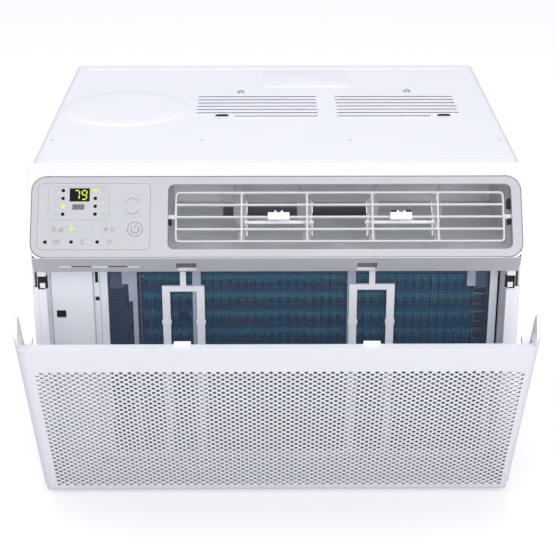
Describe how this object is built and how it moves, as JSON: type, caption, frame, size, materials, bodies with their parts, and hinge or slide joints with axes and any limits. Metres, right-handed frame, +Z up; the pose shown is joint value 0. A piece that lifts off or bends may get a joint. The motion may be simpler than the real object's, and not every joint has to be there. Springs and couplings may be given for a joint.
{
  "type": "window air conditioner",
  "caption": "Window air conditioner with a raked control and outlet face, a tilting louvre with swivelling vanes, and an intake panel that tilts open over a pull-out filter.",
  "frame": {"origin": "centre of the base pan's underside, under the steel cabinet", "axes": "+Z up, +X to the viewer's right as seen from the room, +Y from the room towards outdoors; the control face and intake panel are at -Y"},
  "size_m": [0.4757, 0.5126, 0.3442],
  "materials": {
    "white_enamel": "satin",
    "white_plastic": "satin",
    "grey_plastic": "satin",
    "overlay_film": "satin",
    "black_window": "gloss",
    "black_plastic": "matte",
    "circuit_board": "satin",
    "louver_plastic": "satin",
    "duct_plastic": "matte",
    "zinc_steel": "satin",
    "blue_fins": "satin",
    "bare_fins": "satin",
    "copper_tube": "satin",
    "filter_net": "matte",
    "clear_plastic": "translucent",
    "black_enamel": "satin",
    "rubber": "matte",
    "fan_plastic": "matte",
    "foam": "matte",
    "steel_shaft": "satin",
    "aluminium_can": "satin"
  },
  "bodies": {
    "chassis": {"base_pan": "zinc_steel", "cabinet_shell": "white_enamel", "cabinet_screws": "zinc_steel", "front_frame": "white_plastic", "bezel": "grey_plastic", "control_overlay": "overlay_film", "display_windows": "black_window", "indicator_lights": "black_window", "control_board": "circuit_board", "panel_hinge_pins": "steel_shaft", "filter_guides": "clear_plastic", "side_cover": "white_plastic", "air_duct": "duct_plastic", "blower_housing": "duct_plastic", "fan_orifice": "duct_plastic", "bulkhead": "zinc_steel", "evaporator_fins": "blue_fins", "evaporator_tubes": "copper_tube", "evaporator_end_plates": "zinc_steel", "coil_sensor": "black_plastic", "drip_tray": "foam", "fan_motor": "zinc_steel", "motor_bracket": "zinc_steel", "fan_shroud": "duct_plastic", "condenser_fins": "bare_fins", "condenser_tubes": "copper_tube", "condenser_end_plates": "zinc_steel", "compressor": "black_enamel", "compressor_mounts": "rubber", "terminal_cover": "rubber", "accumulator": "black_enamel", "refrigerant_pipes": "copper_tube", "capillary_tube": "copper_tube", "control_box": "zinc_steel", "run_capacitor": "aluminium_can", "cord_inlet": "rubber"},
    "intake_panel": {"intake_panel": "white_plastic"},
    "filter": {"filter_frame": "white_plastic", "filter_mesh": "filter_net"},
    "louver_frame": {"louver_frame": "louver_plastic"},
    "vane_1": {"vane_1": "louver_plastic"},
    "vane_2": {"vane_2": "louver_plastic"},
    "vane_3": {"vane_3": "louver_plastic"},
    "vane_4": {"vane_4": "louver_plastic"},
    "vane_link_left": {"vane_link_left": "louver_plastic"},
    "vane_link_right": {"vane_link_right": "louver_plastic"},
    "vane_slider_left": {"vane_slider_left": "louver_plastic"},
    "vane_slider_right": {"vane_slider_right": "louver_plastic"},
    "fan_rotor": {"blower_wheel": "fan_plastic", "fan_shaft": "steel_shaft", "axial_fan": "fan_plastic"},
    "key_power": {"key_power": "overlay_film"},
    "key_up": {"key_up": "overlay_film"},
    "key_down": {"key_down": "overlay_film"},
    "key_mode": {"key_mode": "overlay_film"},
    "key_fan_speed": {"key_fan_speed": "overlay_film"},
    "key_eco": {"key_eco": "overlay_film"},
    "key_filter": {"key_filter": "overlay_film"},
    "key_sleep": {"key_sleep": "overlay_film"},
    "key_timer": {"key_timer": "overlay_film"}
  },
  "joints": [
    {"name": "panel_tilt", "type": "hinge", "parent": "chassis", "child": "intake_panel", "pos_m": [0, -0.215, 0.0323], "axis": [-1, 0, 0], "range_deg": [0, 27.5]},
    {"name": "filter_pull", "type": "slide", "parent": "chassis", "child": "filter", "axis": [0, -1, 0], "range_m": [0, 0.012]},
    {"name": "louver_tilt", "type": "hinge", "parent": "chassis", "child": "louver_frame", "pos_m": [0, -0.20568, 0.29428], "axis": [1, 0, 0], "range_deg": [-12, 12]},
    {"name": "fan_spin", "type": "hinge", "parent": "chassis", "child": "fan_rotor", "pos_m": [0.057, 0, 0.15], "axis": [0, 1, 0], "continuous": true},
    {"name": "vane_1_swivel", "type": "hinge", "parent": "louver_frame", "child": "vane_1", "pos_m": [-0.03331, -0.1893, 0.28281], "axis": [0, 0.5736, 0.8192], "range_deg": [-55, 15]},
    {"name": "vane_2_swivel", "type": "hinge", "parent": "louver_frame", "child": "vane_2", "pos_m": [0.02903, -0.1893, 0.28281], "axis": [0, 0.5736, 0.8192], "range_deg": [-55, 15]},
    {"name": "vane_link_left_pivot", "type": "hinge", "parent": "vane_1", "child": "vane_link_left", "pos_m": [-0.02921, -0.19854, 0.28928], "axis": [0, 0.5736, 0.8192], "range_deg": [-15, 55]},
    {"name": "vane_slider_left_slide", "type": "slide", "parent": "louver_frame", "child": "vane_slider_left", "axis": [1, 0, 0], "range_m": [-0.01102, 0.00315]},
    {"name": "vane_3_swivel", "type": "hinge", "parent": "louver_frame", "child": "vane_3", "pos_m": [0.09137, -0.1893, 0.28281], "axis": [0, 0.5736, 0.8192], "range_deg": [-15, 55]},
    {"name": "vane_4_swivel", "type": "hinge", "parent": "louver_frame", "child": "vane_4", "pos_m": [0.15371, -0.1893, 0.28281], "axis": [0, 0.5736, 0.8192], "range_deg": [-15, 55]},
    {"name": "vane_link_right_pivot", "type": "hinge", "parent": "vane_3", "child": "vane_link_right", "pos_m": [0.08727, -0.19854, 0.28928], "axis": [0, 0.5736, 0.8192], "range_deg": [-55, 15]},
    {"name": "vane_slider_right_slide", "type": "slide", "parent": "louver_frame", "child": "vane_slider_right", "axis": [1, 0, 0], "range_m": [-0.00315, 0.01102]},
    {"name": "key_power_press", "type": "slide", "parent": "chassis", "child": "key_power", "axis": [0, 0.8192, -0.5736], "range_m": [0, 0.0006], "stiffness_N_per_m": 900, "springref_m": -0.0003},
    {"name": "key_up_press", "type": "slide", "parent": "chassis", "child": "key_up", "axis": [0, 0.8192, -0.5736], "range_m": [0, 0.0006], "stiffness_N_per_m": 900, "springref_m": -0.0003},
    {"name": "key_down_press", "type": "slide", "parent": "chassis", "child": "key_down", "axis": [0, 0.8192, -0.5736], "range_m": [0, 0.0006], "stiffness_N_per_m": 900, "springref_m": -0.0003},
    {"name": "key_mode_press", "type": "slide", "parent": "chassis", "child": "key_mode", "axis": [0, 0.8192, -0.5736], "range_m": [0, 0.0006], "stiffness_N_per_m": 900, "springref_m": -0.0003},
    {"name": "key_fan_speed_press", "type": "slide", "parent": "chassis", "child": "key_fan_speed", "axis": [0, 0.8192, -0.5736], "range_m": [0, 0.0006], "stiffness_N_per_m": 900, "springref_m": -0.0003},
    {"name": "key_eco_press", "type": "slide", "parent": "chassis", "child": "key_eco", "axis": [0, 0.8192, -0.5736], "range_m": [0, 0.0006], "stiffness_N_per_m": 900, "springref_m": -0.0003},
    {"name": "key_filter_press", "type": "slide", "parent": "chassis", "child": "key_filter", "axis": [0, 0.8192, -0.5736], "range_m": [0, 0.0006], "stiffness_N_per_m": 900, "springref_m": -0.0003},
    {"name": "key_sleep_press", "type": "slide", "parent": "chassis", "child": "key_sleep", "axis": [0, 0.8192, -0.5736], "range_m": [0, 0.0006], "stiffness_N_per_m": 900, "springref_m": -0.0003},
    {"name": "key_timer_press", "type": "slide", "parent": "chassis", "child": "key_timer", "axis": [0, 0.8192, -0.5736], "range_m": [0, 0.0006], "stiffness_N_per_m": 900, "springref_m": -0.0003}
  ],
  "couplings": [
    {"joint": "vane_2_swivel", "follows": "vane_1_swivel", "ratio": 1},
    {"joint": "vane_link_left_pivot", "follows": "vane_1_swivel", "ratio": -1},
    {"joint": "vane_slider_left_slide", "follows": "vane_1_swivel", "m_per_rad": 0.011267},
    {"joint": "vane_4_swivel", "follows": "vane_3_swivel", "ratio": 1},
    {"joint": "vane_link_right_pivot", "follows": "vane_3_swivel", "ratio": -1},
    {"joint": "vane_slider_right_slide", "follows": "vane_3_swivel", "m_per_rad": 0.011267}
  ]
}
